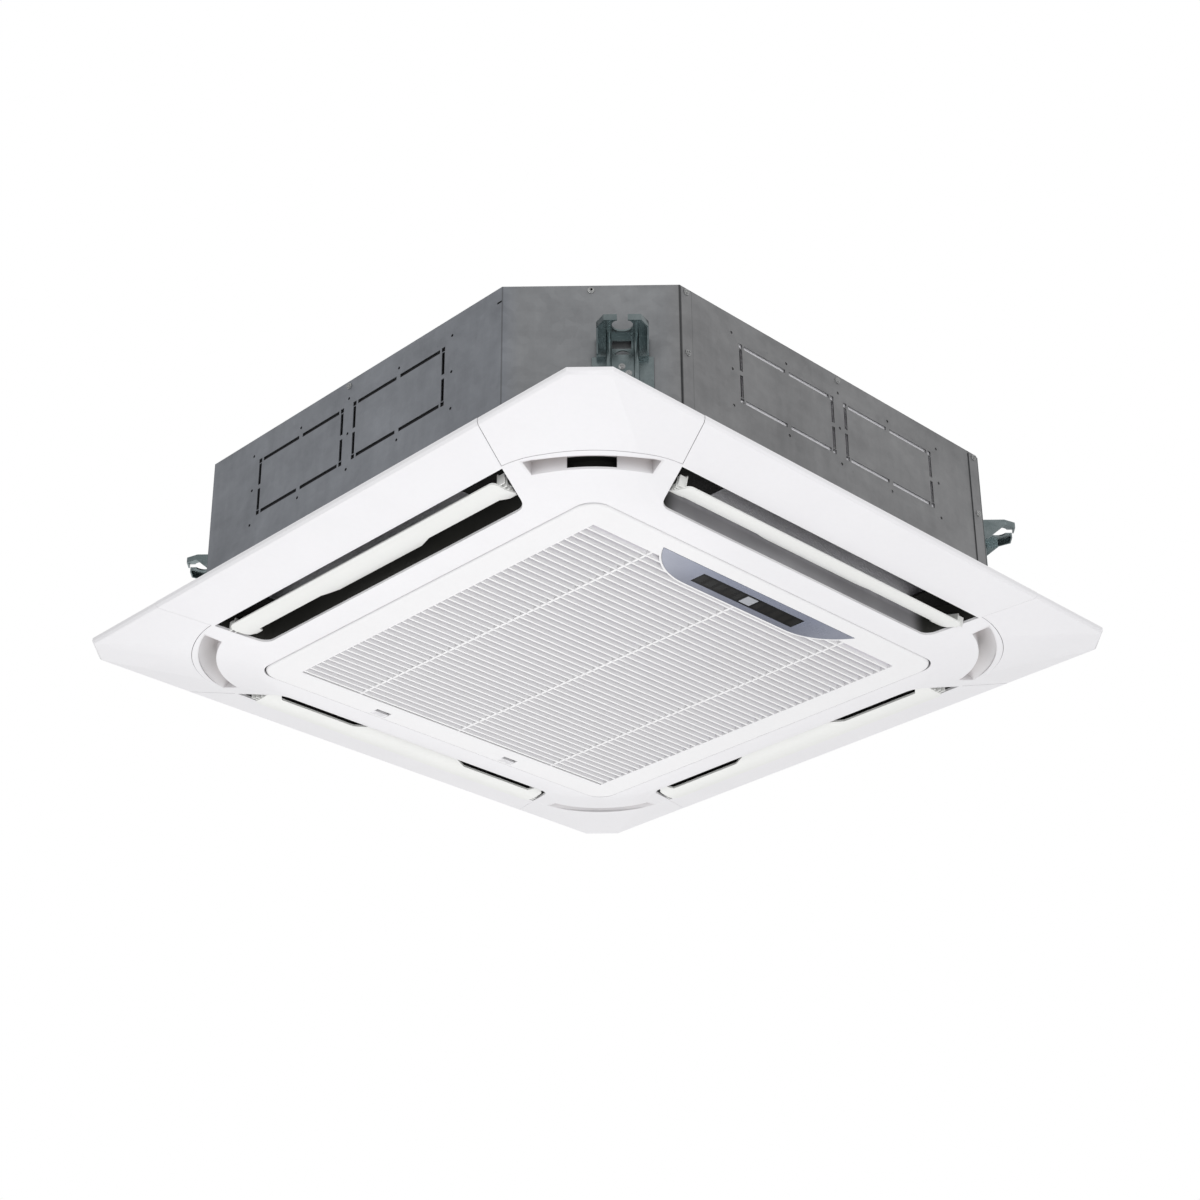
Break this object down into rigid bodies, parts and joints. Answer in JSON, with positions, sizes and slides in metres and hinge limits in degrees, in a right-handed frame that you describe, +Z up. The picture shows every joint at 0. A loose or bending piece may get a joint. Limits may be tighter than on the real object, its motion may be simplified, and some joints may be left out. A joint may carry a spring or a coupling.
{
  "type": "ceiling cassette air conditioner",
  "caption": "Recessed ceiling cassette air conditioner with a square slatted intake panel, swinging air vanes on every side, display strip and hanger brackets.",
  "frame": {"origin": "centre of the panel at the ceiling plane, which is the top face of the panel's rim", "axes": "+Z up into the ceiling void, -Y towards the display side of the panel, +X to the right seen from above with the display side nearest"},
  "size_m": [0.95, 0.95, 0.2516],
  "materials": {
    "casing_steel": "satin",
    "bracket_steel": "satin",
    "screw_steel": "satin",
    "polystyrene": "matte",
    "rubber_black": "matte",
    "plastic_black": "satin",
    "plastic_grey": "satin",
    "plastic_white_inner": "satin",
    "fin_aluminium": "satin",
    "copper": "satin",
    "brass": "satin",
    "motor_steel": "satin",
    "board_green": "satin",
    "foam_black": "matte",
    "panel_white": "satin",
    "duct_dark": "matte",
    "vane_cream": "satin",
    "filter_net": "matte",
    "bezel_blue": "satin",
    "window_dark": "gloss",
    "button_light": "satin"
  },
  "bodies": {
    "casing": {"side_casing_left": "casing_steel", "side_casing_right": "casing_steel", "front_casing": "casing_steel", "rear_casing": "casing_steel", "top_plate": "casing_steel", "hanger_brackets": "bracket_steel", "casing_screws": "screw_steel", "insulation_liner": "polystyrene", "insulation_liner_rear": "polystyrene", "drain_pan": "polystyrene", "drain_plug": "rubber_black", "bell_mouth": "plastic_black", "fin_block": "fin_aluminium", "coil_end_plates": "bracket_steel", "tube_bends": "copper", "gas_pipe": "copper", "gas_union": "brass", "liquid_pipe": "copper", "liquid_union": "brass", "pipe_cover_plate": "casing_steel", "fan_motor": "motor_steel", "motor_dampers": "rubber_black", "pump_housing": "plastic_black", "float_switch": "plastic_black", "drain_outlet": "plastic_grey", "electrical_box": "bracket_steel", "electrical_cover": "casing_steel", "control_board": "board_green", "terminal_block": "plastic_black", "cable_grommet": "rubber_black", "panel_seal": "foam_black", "outlet_foam": "foam_black", "panel_frame": "panel_white", "corner_cover_front_left": "panel_white", "corner_cover_front_right": "panel_white", "corner_cover_rear_right": "panel_white", "corner_cover_rear_left": "panel_white", "panel_screws": "screw_steel", "outlet_ducts": "duct_dark", "vane_bushes": "plastic_white_inner", "vane_motors": "motor_steel"},
    "fan": {"turbo_fan": "plastic_grey", "fan_shaft": "screw_steel", "fan_nut": "screw_steel"},
    "pump_wheel": {"pump_impeller": "plastic_white_inner"},
    "float": {"pump_float": "plastic_white_inner"},
    "vane_front": {"vane_front": "vane_cream"},
    "vane_right": {"vane_right": "vane_cream"},
    "vane_rear": {"vane_rear": "vane_cream"},
    "vane_left": {"vane_left": "vane_cream"},
    "grille": {"intake_grille": "panel_white", "grille_hinge_pins": "screw_steel", "filter_frame": "plastic_grey", "filter_mesh": "filter_net", "display_bezel": "bezel_blue", "display_window": "window_dark", "display_board": "board_green"},
    "latch_left": {"grille_latch_left": "panel_white"},
    "latch_right": {"grille_latch_right": "panel_white"},
    "button": {"display_button": "button_light"}
  },
  "joints": [
    {"name": "fan_spin", "type": "hinge", "parent": "casing", "child": "fan", "pos_m": [0, 0, 0.14], "axis": [0, 0, 1], "continuous": true},
    {"name": "pump_spin", "type": "hinge", "parent": "casing", "child": "pump_wheel", "pos_m": [0.35, 0.263, 0.05], "axis": [0, 0, 1], "continuous": true},
    {"name": "float_rise", "type": "slide", "parent": "casing", "child": "float", "axis": [0, 0, 1], "range_m": [0, 0.012]},
    {"name": "vane_front_swing", "type": "hinge", "parent": "casing", "child": "vane_front", "pos_m": [0, -0.376, -0.02], "axis": [1, 0, 0], "range_deg": [-29, 15]},
    {"name": "vane_right_swing", "type": "hinge", "parent": "casing", "child": "vane_right", "pos_m": [0.376, 0, -0.02], "axis": [0, 1, 0], "range_deg": [-14, 30]},
    {"name": "vane_rear_swing", "type": "hinge", "parent": "casing", "child": "vane_rear", "pos_m": [0, 0.376, -0.02], "axis": [-1, 0, 0], "range_deg": [-14, 30]},
    {"name": "vane_left_swing", "type": "hinge", "parent": "casing", "child": "vane_left", "pos_m": [-0.376, 0, -0.02], "axis": [0, -1, 0], "range_deg": [-14, 30]},
    {"name": "grille_swing", "type": "hinge", "parent": "casing", "child": "grille", "pos_m": [0, -0.288, -0.035], "axis": [-1, 0, 0], "range_deg": [0, 80]},
    {"name": "latch_left_slide", "type": "slide", "parent": "grille", "child": "latch_left", "axis": [0, -1, 0], "range_m": [0, 0.006], "stiffness_N_per_m": 200, "springref_m": -0.002},
    {"name": "latch_right_slide", "type": "slide", "parent": "grille", "child": "latch_right", "axis": [0, -1, 0], "range_m": [0, 0.006], "stiffness_N_per_m": 200, "springref_m": -0.002},
    {"name": "button_press", "type": "slide", "parent": "grille", "child": "button", "axis": [0, 0, 1], "range_m": [0, 0.001], "stiffness_N_per_m": 300, "springref_m": -0.001}
  ]
}
